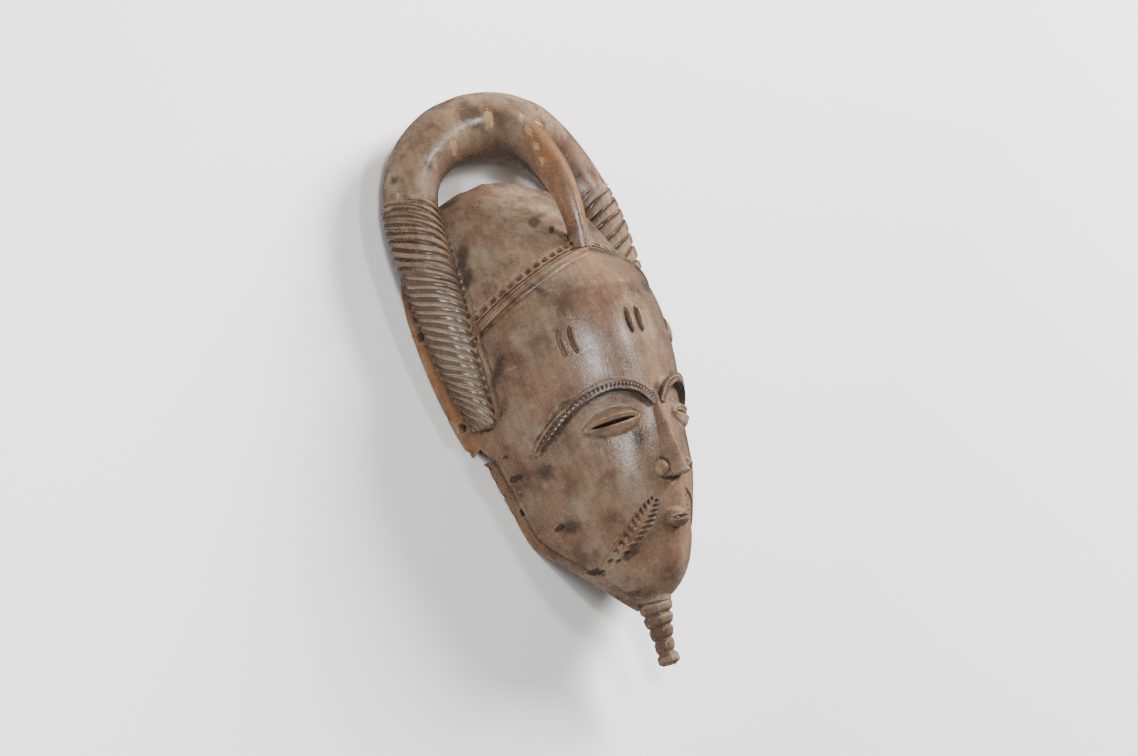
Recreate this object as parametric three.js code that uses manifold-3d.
// A horned face mask carved from one block of wood, lying on its back.
// Sizes are in millimetres: X runs across the face, Y up the face, Z out of the face.
// The chin stands at Y = 0 while the mask is shaped, and the back rim lies on Z = 0.

import * as THREE from 'three';
import { mergeVertices } from 'three/addons/utils/BufferGeometryUtils.js';
import Module from 'manifold-3d';

const headHeight = 306;
const headWidth = 164;
const headDepth = 105;
const wallThickness = 8;
const coiffureDrop = 3;
const flangeReach = 15.5;
const flangeThickness = 22;
const jawLipDepth = 2.5;
const jawLipWidth = 12;
const hornRadius = 19;
const hornStarts = 8;
const hornLead = 50;
const strandDepth = 2.2;
const archRadius = 18.4;
const archRise = 65;
const crownRadius = 24.5;
const crownDepth = 27;
const beakRadius = 14;
const beakStandOff = 7;
const beardLength = 42;
const beardRadius = 11;
const beardRings = 4;
const hairBandWidth = 3.2;
const hairBandHeight = 2.4;
const browBandWidth = 5.5;
const browBandHeight = 2.6;
const browTeeth = 10;
const browRadius = 33;
const eyeHalfWidth = 16;
const eyeHalfHeight = 9;
const eyeBulge = 5;
const slitLength = 24;
const slitHeight = 2.6;
const lidWidth = 2;
const lidHeight = 1.6;
const noseLength = 56;
const noseBaseHalfWidth = 10;
const noseRise = 17;
const wingHalfWidth = 4.5;
const wingHalfHeight = 6;
const wingRise = 10;
const mouthHalfWidth = 10;
const mouthHalfHeight = 7;
const mouthRise = 8;
const lipLineWidth = 1.4;
const scarLength = 12;
const scarWidth = 2.2;
const scarHeight = 2.6;
const scarHollowDepth = 2;
const lozengeHalfWidth = 5;
const lozengeCuts = 3;
const cutDepth = 1.3;
const cutWidth = 1.3;
const spineHalfWidth = 0.7;
const tieHoleDiameter = 5;
const tieHoleUp = 6;

const halfTurn = Math.PI;
const quarterTurn = Math.PI / 2;
const sinkDepth = 3;
const weldDistance = 1e-4;
const shortestEdge = 1e-3;

// Head stations up the face, as shares of the head's height, half width and depth
const headStations = [
  { at: -0.007, wide: 0.12, front: 0.42, back: 0.28 },
  { at: 0.02, wide: 0.28, front: 0.56, back: 0.29 },
  { at: 0.06, wide: 0.42, front: 0.67, back: 0.26 },
  { at: 0.11, wide: 0.53, front: 0.76, back: 0.17 },
  { at: 0.16, wide: 0.62, front: 0.82, back: 0.06 },
  { at: 0.2, wide: 0.68, front: 0.86, back: 0 },
  { at: 0.26, wide: 0.745, front: 0.905, back: 0 },
  { at: 0.36, wide: 0.84, front: 0.955, back: 0 },
  { at: 0.49, wide: 0.95, front: 1, back: 0 },
  { at: 0.6, wide: 1, front: 0.995, back: 0 },
  { at: 0.68, wide: 1, front: 0.94, back: 0 },
  { at: 0.755, wide: 0.965, front: 0.82, back: 0 },
  { at: 0.88, wide: 0.87, front: 0.62, back: 0 },
  { at: 0.97, wide: 0.76, front: 0.4, back: 0 },
  { at: 1.02, wide: 0.68, front: 0.28, back: 0 },
];

// Side flange behind the horns, as shares of the head's height and of the flange's reach
const flangeStations = [
  { at: 0.39, reach: 0 },
  { at: 0.41, reach: 0.4 },
  { at: 0.445, reach: 0.57 },
  { at: 0.54, reach: 0.68 },
  { at: 0.65, reach: 0.8 },
  { at: 0.76, reach: 1 },
  { at: 0.82, reach: 0.9 },
  { at: 0.9, reach: 0 },
];

// Horn centre line from its lower end to the arch: shares of head height, half width and depth
const hornStations = [
  { at: 0.445, out: 0.955, up: 0.2, radius: 0.27 },
  { at: 0.456, out: 0.955, up: 0.205, radius: 0.45 },
  { at: 0.49, out: 0.965, up: 0.21, radius: 0.53 },
  { at: 0.523, out: 0.975, up: 0.21, radius: 0.61 },
  { at: 0.575, out: 0.99, up: 0.21, radius: 0.72 },
  { at: 0.647, out: 1, up: 0.21, radius: 0.84 },
  { at: 0.735, out: 1.005, up: 0.21, radius: 0.96 },
  { at: 0.81, out: 1.01, up: 0.205, radius: 0.99 },
  { at: 0.892, out: 1.005, up: 0.2, radius: 1 },
  { at: 0.965, out: 0.965, up: 0.19, radius: 0.94 },
];

// Fine shaping of the face: bumps and hollows on the skin, in shares of head height and half width
const bumps = [
  { across: 0.38, at: 0.375, wide: 0.2, tall: 0.045, rise: -3 },
  { across: 0.45, at: 0.24, wide: 0.22, tall: 0.06, rise: 2 },
  { across: 0, at: 0.06, wide: 0.2, tall: 0.035, rise: 3 },
  { across: 0, at: 0.6, wide: 0.55, tall: 0.09, rise: 2 },
];

const wasm = await Module();
wasm.setup();

function solidOf(geometry) {
  geometry.deleteAttribute('normal');
  geometry.deleteAttribute('uv');
  const merged = mergeVertices(geometry, weldDistance);
  return new wasm.Manifold(new wasm.Mesh({
    numProp: 3,
    vertProperties: merged.attributes.position.array,
    triVerts: merged.index.array,
  }));
}

function shaped(geometry, place) {
  const position = geometry.attributes.position;
  const point = new THREE.Vector3();
  for (let i = 0; i < position.count; i += 1) {
    point.fromBufferAttribute(position, i);
    const placed = place(point);
    position.setXYZ(i, placed.x, placed.y, placed.z);
  }
  return geometry;
}

// The same form on the other side of the face
function mirrored(geometry) {
  const twin = shaped(geometry.clone(), (point) => new THREE.Vector3(-point.x, point.y, point.z));
  const index = twin.index;
  for (let i = 0; i < index.count; i += 3) {
    const first = index.getX(i);
    index.setX(i, index.getX(i + 1));
    index.setX(i + 1, first);
  }
  return twin;
}

// Smooth value of one column of a station table
function along(stations, at, key) {
  const last = stations.length - 1;
  const place = THREE.MathUtils.clamp(at, stations[0].at, stations[last].at);
  let i = 0;
  while (i < last - 1 && place > stations[i + 1].at) {
    i += 1;
  }
  const slopeAt = (j) => {
    const before = stations[Math.max(j - 1, 0)];
    const after = stations[Math.min(j + 1, last)];
    return (after[key] - before[key]) / (after.at - before.at);
  };
  const span = stations[i + 1].at - stations[i].at;
  const t = (place - stations[i].at) / span;
  const ease = t * t * (3 - 2 * t);
  const rising = slopeAt(i) * span * t * (1 - t) * (1 - t);
  const falling = slopeAt(i + 1) * span * t * t * (t - 1);
  return stations[i][key] * (1 - ease) + stations[i + 1][key] * ease + rising + falling;
}

const halfWidth = headWidth / 2;

// The hairline falls from its peak at the middle to the horns
function hairlineAt(turn) {
  const side = Math.abs(turn) / quarterTurn;
  return headHeight * (0.755 - side * (0.114 + 0.058 * side));
}

function bumpAt(across, height) {
  let rise = 0;
  for (const bump of bumps) {
    const dx = (Math.abs(across) - bump.across * halfWidth) / (bump.wide * halfWidth);
    const dy = (height - bump.at * headHeight) / (bump.tall * headHeight);
    rise += bump.rise * Math.exp(-dx * dx - dy * dy);
  }
  return rise;
}

// A point of the mask's outer skin: turn is 0 at the middle and a quarter turn at the back rim
function skin(turn, height, inset = 0) {
  const at = height / headHeight;
  const wide = along(headStations, at, 'wide') * halfWidth - inset;
  const back = Math.max(0, along(headStations, at, 'back')) * headDepth;
  let rise = along(headStations, at, 'front') * headDepth - back - inset;
  const hairy = THREE.MathUtils.smoothstep(height - hairlineAt(turn), 0, coiffureDrop);
  rise += (bumpAt(Math.sin(turn) * wide, height) - hairy * coiffureDrop) * Math.cos(turn);
  const up = Math.cos(turn) * rise;
  const thin = Math.max(0, 1 - up / flangeThickness);
  const lipped = at < flangeStations[0].at && up < jawLipWidth ? jawLipDepth : 0;
  const flare = along(flangeStations, at, 'reach') * flangeReach * thin - lipped;
  const side = inset > 0 ? 0 : flare * Math.sin(turn);
  return new THREE.Vector3(Math.sin(turn) * wide + side, height, back + up);
}

// A block whose rows follow the hairline, closed by a flat back
function headBlock(columns, rows, bottom, top, inset, backDrop) {
  const frontShare = 5 / 6;
  return shaped(new THREE.SphereGeometry(1, columns, rows), (point) => {
    const row = Math.acos(THREE.MathUtils.clamp(point.y, -1, 1)) / halfTurn;
    const nearPole = Math.abs(row - 0.5) > 0.5 - weldDistance;
    const rowShare = THREE.MathUtils.clamp((row * rows - 1) / (rows - 2), 0, 1);
    const level = THREE.MathUtils.lerp(top, bottom, rowShare);
    const around = Math.atan2(point.x, point.z) / halfTurn;
    const side = THREE.MathUtils.clamp(around / frontShare, -1, 1);
    const turn = side * quarterTurn;
    const peak = hairlineAt(0);
    const pull = Math.exp(-(((level - peak) / (0.2 * headHeight)) ** 2));
    const height = level + (hairlineAt(turn) - peak) * pull;
    const place = skin(turn, height, inset);
    const past = Math.max(0, Math.abs(around) - frontShare) / (1 - frontShare);
    place.x *= 1 - past;
    if (past > 0 || Math.abs(side) === 1) {
      place.z -= backDrop;
    }
    if (nearPole) {
      const front = skin(0, level, inset).z;
      const rim = skin(quarterTurn, level, inset).z - backDrop;
      return new THREE.Vector3(0, level, (front + rim) / 2);
    }
    return place;
  });
}

// A closed tube: ring points run from its inner side toward the given side direction
function tube(sides, steps, path, sideways, radiusAt) {
  return shaped(new THREE.CylinderGeometry(1, 1, 1, sides, steps), (point) => {
    const t = point.y + 0.5;
    const inside = Math.hypot(point.x, point.z);
    const angle = Math.atan2(point.z, point.x);
    const tangent = path.getTangentAt(t);
    const inner = tangent.clone().cross(sideways).normalize();
    const outer = inner.clone().cross(tangent);
    const turned = radiusAt(t, angle);
    const reach = inside < 0.5 ? 0 : 1;
    return path.getPointAt(t)
      .addScaledVector(inner, reach * turned.inner)
      .addScaledVector(outer, reach * turned.side);
  });
}

function outwardAt(turn, height) {
  const step = 0.01;
  const across = skin(turn + step, height).sub(skin(turn - step, height));
  const upward = skin(turn, height + 1).sub(skin(turn, height - 1));
  return across.cross(upward).normalize();
}

function turnAt(across, height) {
  const wide = along(headStations, height / headHeight, 'wide') * halfWidth;
  return Math.asin(THREE.MathUtils.clamp(across / wide, -1, 1));
}

// A strip of rectangular section laid along a path on the skin, from below it to its own height
function strip(route, steps, width, low, high) {
  return shaped(new THREE.BoxGeometry(1, 1, 1, steps, 1, 1), (point) => {
    const share = point.x + 0.5;
    const place = route(share);
    const ahead = route(Math.min(share + 0.01, 1));
    const behind = route(Math.max(share - 0.01, 0));
    const forward = skin(ahead.turn, ahead.height).sub(skin(behind.turn, behind.height)).normalize();
    const outward = outwardAt(place.turn, place.height);
    const across = outward.clone().cross(forward);
    const thick = typeof width === 'function' ? width(share) : width;
    const top = typeof high === 'function' ? high(share) : high;
    return skin(place.turn, place.height)
      .addScaledVector(across, point.y * thick)
      .addScaledVector(outward, point.z > 0 ? top : low);
  });
}

// A rounded mound seated on the skin
function mound(across, height, halfAcross, halfUp, rise, detail) {
  const turn = turnAt(across, height);
  const centre = skin(turn, height);
  const outward = outwardAt(turn, height);
  const sideward = new THREE.Vector3(0, 1, 0).cross(outward).normalize();
  const upward = outward.clone().cross(sideward);
  return shaped(new THREE.SphereGeometry(1, detail, detail), (point) => centre.clone()
    .addScaledVector(sideward, point.x * halfAcross)
    .addScaledVector(upward, point.y * halfUp)
    .addScaledVector(outward, point.z * rise));
}

const add = [];
const cut = [];

function both(list, geometry) {
  list.push(mirrored(geometry), geometry);
}

// Shell: outer block and the hollow behind the face
const headBottom = headStations[0].at * headHeight;
const headTop = headStations[headStations.length - 1].at * headHeight;
const shell = solidOf(headBlock(30, 26, headBottom, headTop, 0, 0));
const hollowBottom = headHeight * 0.035 + wallThickness;
const hollowTop = headHeight * 0.95 - wallThickness;
const hollow = solidOf(headBlock(24, 12, hollowBottom, hollowTop, wallThickness, 2 * wallThickness));

// Coiffure top: hand-cut facets that fall from a blunt corner left of the middle
function coiffureCut() {
  const far = headWidth;
  const outline = new THREE.Shape();
  outline.moveTo(-far, headHeight * 0.84);
  outline.lineTo(-halfWidth * 0.74, headHeight * 0.952);
  outline.lineTo(-halfWidth * 0.26, headHeight * 1.006);
  outline.lineTo(halfWidth * 0.11, headHeight * 0.997);
  outline.lineTo(halfWidth * 0.46, headHeight * 0.936);
  outline.lineTo(far, headHeight * 0.74);
  outline.lineTo(far, headHeight * 1.2);
  outline.lineTo(-far, headHeight * 1.2);
  outline.closePath();
  const depth = headDepth * 1.2;
  const block = new THREE.ExtrudeGeometry(outline, { depth, bevelEnabled: false, steps: 1 });
  return block.translate(0, 0, -headDepth * 0.1);
}

// Horns: twisted strands, two ring points to a strand, one on its crest and one in its groove
const strandSides = 2 * hornStarts;
const hornPath = new THREE.CatmullRomCurve3(hornStations.map((station) => new THREE.Vector3(
  -station.out * halfWidth,
  station.at * headHeight,
  station.up * headDepth,
)));
const hornLength = hornPath.getLength();
const hornFoot = hornStations[0].at;
const hornHead = hornStations[hornStations.length - 1].at;

function hornRing(t, angle) {
  const at = THREE.MathUtils.lerp(hornFoot, hornHead, t);
  const size = along(hornStations, at, 'radius') * hornRadius;
  const index = Math.round(angle / (2 * Math.PI / strandSides));
  const crest = index % 2 === 0 ? 0 : strandDepth * Math.min(1, size / (0.5 * hornRadius));
  const twist = angle + 2 * Math.PI * t * hornLength / hornLead;
  return { inner: Math.cos(twist) * (size - crest), side: Math.sin(twist) * (size - crest) };
}

const frontward = new THREE.Vector3(0, 0, 1);
const rightward = new THREE.Vector3(1, 0, 0);
both(add, tube(strandSides, 28, hornPath, frontward, hornRing));

// Arch: a smooth tube that joins the horns over the coiffure
const hornTopPoint = hornPath.getPointAt(0.975);
const archTop = headHeight + archRise - crownRadius;
const archShoulder = (side, out, lift, up) => new THREE.Vector3(
  side * out * hornTopPoint.x,
  THREE.MathUtils.lerp(hornTopPoint.y, archTop, lift),
  up * headDepth,
);
const archPath = new THREE.CatmullRomCurve3([
  archShoulder(1, 1, 0, 0.19),
  archShoulder(1, 0.91, 0.33, 0.195),
  archShoulder(1, 0.755, 0.63, 0.212),
  archShoulder(1, 0.52, 0.86, 0.245),
  archShoulder(1, 0.26, 0.975, 0.27),
  archShoulder(1, 0, 1, 0.275),
  archShoulder(-1, 0.26, 0.975, 0.27),
  archShoulder(-1, 0.52, 0.86, 0.245),
  archShoulder(-1, 0.755, 0.63, 0.212),
  archShoulder(-1, 0.91, 0.33, 0.195),
  archShoulder(-1, 1, 0, 0.19),
]);

function archRing(t, angle) {
  const crown = Math.sin(t * Math.PI) ** 3;
  return {
    inner: Math.cos(angle) * THREE.MathUtils.lerp(archRadius, crownRadius, crown),
    side: Math.sin(angle) * THREE.MathUtils.lerp(archRadius, crownDepth, crown),
  };
}

add.push(tube(12, 20, archPath, frontward, archRing));

// Beak: a third horn down the middle, from the arch's crown to the hairline
const hairPeak = hairlineAt(0);
const beakFoot = skin(0, hairPeak + 2 * hairBandWidth).z;
const beakPath = new THREE.CatmullRomCurve3([
  new THREE.Vector3(0, archTop, 0.3 * headDepth),
  new THREE.Vector3(0, THREE.MathUtils.lerp(archTop, hairPeak, 0.12), 0.52 * headDepth),
  new THREE.Vector3(0, THREE.MathUtils.lerp(archTop, hairPeak, 0.29), 0.67 * headDepth),
  new THREE.Vector3(0, THREE.MathUtils.lerp(archTop, hairPeak, 0.58), beakFoot + beakStandOff * 0.4),
  new THREE.Vector3(0, THREE.MathUtils.lerp(archTop, hairPeak, 0.82), beakFoot + beakStandOff * 0.55),
  new THREE.Vector3(0, hairPeak + hairBandWidth, beakFoot + beakStandOff * 0.1),
]);

function beakRing(t, angle) {
  const root = 0.3 * Math.max(0, 1 - 4 * t) ** 2;
  const size = beakRadius * (THREE.MathUtils.lerp(1.22, 0.52, Math.min(1, t * 1.15)) + root);
  return { inner: Math.cos(angle) * size, side: Math.sin(angle) * size };
}

add.push(tube(10, 13, beakPath, rightward, beakRing));

// Beard: a ringed rod under the chin that ends in a knob
const beardPath = new THREE.CatmullRomCurve3([
  new THREE.Vector3(0, 2 * beardRadius, 0.44 * headDepth),
  new THREE.Vector3(0, 0, 0.38 * headDepth),
  new THREE.Vector3(0, -0.5 * beardLength, 0.35 * headDepth),
  new THREE.Vector3(0, -beardLength, 0.33 * headDepth),
]);

function beardRing(t, angle) {
  const rootShare = 2 * beardRadius / (2 * beardRadius + beardLength);
  const down = Math.max(0, (t - rootShare) / (1 - rootShare));
  const lobe = down * (beardRings + 1);
  const groove = Math.abs(Math.cos(lobe * Math.PI)) ** 4;
  const pinch = down > 0 && down < 1 ? groove * 0.2 : 0;
  const blunt = t > 0.999 ? 0.3 : 0;
  const taper = 0.42 * THREE.MathUtils.smoothstep(down, 0, 0.78);
  const knob = 0.12 * THREE.MathUtils.smoothstep(down, 0.79, 0.86);
  const size = beardRadius * (1 - taper + knob) * (1 - pinch - blunt);
  return { inner: Math.cos(angle) * size, side: Math.sin(angle) * size };
}

add.push(tube(10, 18, beardPath, rightward, beardRing));

// Hairline bands: a raised edge and a smooth ridge with a groove between them
const bandHalfTurn = 0.8 * quarterTurn;

function hairRoute(offset) {
  return (share) => {
    const turn = THREE.MathUtils.lerp(-bandHalfTurn, bandHalfTurn, share);
    return { turn, height: hairlineAt(turn) + offset };
  };
}

add.push(strip(hairRoute(1.4 * hairBandWidth), 20, hairBandWidth, -sinkDepth, hairBandHeight));
add.push(strip(hairRoute(-0.8 * hairBandWidth), 20, hairBandWidth, -sinkDepth, hairBandHeight * 0.6));

// Brow bands: notched arcs from the nose bridge over the eyes
const browCentre = { across: 0.378 * halfWidth, height: 0.34 * headHeight };

function browRoute(share) {
  const angle = THREE.MathUtils.lerp(0.05, 0.86, share) * Math.PI;
  const across = browCentre.across + Math.cos(angle) * browRadius * 0.94;
  const height = browCentre.height + Math.sin(angle) * browRadius * 0.9;
  return { turn: turnAt(-across, height), height };
}

const browHeight = (share) => {
  const tooth = Math.round(share * 2 * browTeeth) % 2;
  return browBandHeight * (1 - 0.3 * tooth);
};
both(add, strip(browRoute, 2 * browTeeth, browBandWidth, -sinkDepth, browHeight));

// Eyes: almond bulges with two lid lines and a slit that goes right through
const eyeAcross = 0.366 * halfWidth;
const eyeHeight = 0.363 * headHeight;

function lidRoute(bow) {
  return (share) => {
    const across = eyeAcross + (share - 0.5) * 2 * eyeHalfWidth;
    const height = eyeHeight + bow * Math.sin(share * Math.PI) * eyeHalfHeight;
    return { turn: turnAt(-across, height), height };
  };
}

both(add, mound(-eyeAcross, eyeHeight, eyeHalfWidth, eyeHalfHeight, eyeBulge, 9));
const lidRise = (share) => eyeBulge * Math.sin(share * Math.PI) ** 0.5 * 0.85 + lidHeight;
both(add, strip(lidRoute(0.42), 6, lidWidth, -sinkDepth, lidRise));
both(add, strip(lidRoute(-0.3), 6, lidWidth, -sinkDepth, lidRise));
const slitRoute = (share) => {
  const across = eyeAcross + (share - 0.5) * slitLength;
  return { turn: turnAt(-across, eyeHeight), height: eyeHeight };
};
const slitWidth = (share) => slitHeight * Math.sin(THREE.MathUtils.lerp(0.12, 0.88, share) * Math.PI);
both(cut, strip(slitRoute, 4, slitWidth, -3 * wallThickness, 2 * eyeBulge));

// Nose: a long ridge that widens to its base, with two wings
const noseBase = 0.226 * headHeight;
const nosePath = new THREE.LineCurve3(
  skin(0, noseBase + noseLength).addScaledVector(frontward, -sinkDepth),
  skin(0, noseBase).addScaledVector(frontward, -sinkDepth),
);

function noseRing(t, angle) {
  const grow = t ** 1.3;
  const wide = noseBaseHalfWidth * THREE.MathUtils.lerp(0.3, 1, grow);
  const rise = noseRise * THREE.MathUtils.lerp(0.1, 1, grow) + sinkDepth;
  const ridge = Math.sign(Math.cos(angle)) * Math.abs(Math.cos(angle)) ** 1.2;
  return { inner: ridge * rise, side: Math.sin(angle) * wide };
}

add.push(tube(8, 6, nosePath, rightward, noseRing));
const wingAt = { across: -noseBaseHalfWidth * 0.95, height: noseBase + wingHalfHeight };
both(add, mound(wingAt.across, wingAt.height, wingHalfWidth, wingHalfHeight, wingRise, 7));

// Mouth: small and closed, standing well out
const mouthHeight = 0.144 * headHeight;
add.push(mound(0, mouthHeight, mouthHalfWidth, mouthHalfHeight, mouthRise, 9));
const lipRoute = (share) => {
  const across = (share - 0.5) * 2 * mouthHalfWidth;
  return { turn: turnAt(across, mouthHeight), height: mouthHeight };
};
const lipLine = strip(lipRoute, 8, lipLineWidth, mouthRise * 0.55, 2 * mouthRise);

// Raised scars in sunken ovals: one pair on the forehead and one on each temple
const scarPlaces = [
  { across: 0, height: 0.565 * headHeight },
  { across: -0.54 * halfWidth, height: 0.552 * headHeight },
  { across: 0.54 * halfWidth, height: 0.552 * headHeight },
];
const scars = [];
for (const place of scarPlaces) {
  const spacing = 2 * scarWidth;
  cut.push(mound(place.across, place.height, 2.6 * scarWidth, 0.62 * scarLength, scarHollowDepth, 7));
  for (const side of [-0.5, 0.5]) {
    const bar = (share) => {
      const height = place.height + (share - 0.5) * scarLength;
      return { turn: turnAt(place.across + side * spacing, height), height };
    };
    const taper = (share) => scarWidth * (0.5 + 0.5 * Math.sin(share * Math.PI));
    scars.push(strip(bar, 2, taper, -sinkDepth, scarHeight - scarHollowDepth));
  }
}

// Lozenges beside the mouth: a spine groove with slanted cuts on both sides
const lozengeTop = { across: 0.17 * halfWidth, height: 0.19 * headHeight };
const lozengeFoot = { across: 0.44 * halfWidth, height: 0.085 * headHeight };

function lozengePoint(share, sideways) {
  const across = THREE.MathUtils.lerp(lozengeTop.across, lozengeFoot.across, share) + sideways;
  const height = THREE.MathUtils.lerp(lozengeTop.height, lozengeFoot.height, share) + sideways * 0.7;
  return { turn: turnAt(-across, height), height };
}

for (let i = 0; i < lozengeCuts; i += 1) {
  const share = (i + 0.8) / (lozengeCuts + 0.6);
  const reach = lozengeHalfWidth * Math.sin(share * Math.PI);
  for (const side of [-1, 1]) {
    const slant = (t) => lozengePoint(share - 0.06 * t, side * (spineHalfWidth + t * reach));
    both(cut, strip(slant, 1, cutWidth, -cutDepth, sinkDepth));
  }
}

// Tie holes through the side flange and the jaw, from the outside into the hollow
const tiePlaces = [
  { height: 0.725, up: 1, size: 0.8 },
  { height: 0.657, up: 1, size: 1.3 },
  { height: 0.49, up: 1, size: 1.1 },
  { height: 0.234, up: 1.5, size: 0.9 },
];
for (const place of tiePlaces) {
  const radius = place.size * tieHoleDiameter / 2;
  const drill = new THREE.CylinderGeometry(radius, radius, headWidth * 0.65, 6, 1);
  drill.rotateZ(quarterTurn);
  drill.translate(-halfWidth * 1.15, place.height * headHeight, place.up * tieHoleUp);
  both(cut, drill);
}

// Broken notch between the left flange's lower tip and the jaw
const notch = new THREE.Shape();
notch.moveTo(-halfWidth * 0.95, headHeight * 0.385);
notch.lineTo(-halfWidth * 0.7, headHeight * 0.385);
notch.lineTo(-halfWidth * 0.865, headHeight * 0.445);
notch.lineTo(-halfWidth * 0.915, headHeight * 0.44);
notch.closePath();
const notchDepth = wallThickness * 1.6;
const notchCut = new THREE.ExtrudeGeometry(notch, { depth: notchDepth, bevelEnabled: false, steps: 1 });
notchCut.translate(0, 0, -wallThickness * 0.4);

let mask = shell.subtract(solidOf(coiffureCut()));
for (const piece of add) {
  mask = mask.add(solidOf(piece));
}
cut.push(lipLine, notchCut);
for (const piece of cut) {
  mask = mask.subtract(solidOf(piece));
}
mask = mask.subtract(hollow);
for (const scar of scars) {
  mask = mask.add(solidOf(scar));
}

// The joined solid as one geometry, without the slivers that joining leaves
function geometryOf(joined) {
  const mesh = joined.getMesh();
  const rough = new THREE.BufferGeometry();
  rough.setAttribute('position', new THREE.BufferAttribute(mesh.vertProperties, 3));
  rough.setIndex(new THREE.BufferAttribute(mesh.triVerts, 1));
  const merged = mergeVertices(rough, shortestEdge);
  const kept = [];
  for (let i = 0; i < merged.index.count; i += 3) {
    const corners = [merged.index.getX(i), merged.index.getX(i + 1), merged.index.getX(i + 2)];
    if (new Set(corners).size === 3) {
      kept.push(...corners);
    }
  }
  merged.setIndex(kept);
  return merged;
}

const geometry = geometryOf(mask);
geometry.computeBoundingBox();
const middle = geometry.boundingBox.getCenter(new THREE.Vector3());
geometry.translate(-middle.x, -middle.y, -geometry.boundingBox.min.z);
geometry.computeVertexNormals();

const wood = new THREE.MeshStandardMaterial({ color: 0x8d6b53, roughness: 0.5, metalness: 0 });
const maskMesh = new THREE.Mesh(geometry, wood);
maskMesh.name = 'mask';

const part = new THREE.Group();
part.add(maskMesh);

export default part;
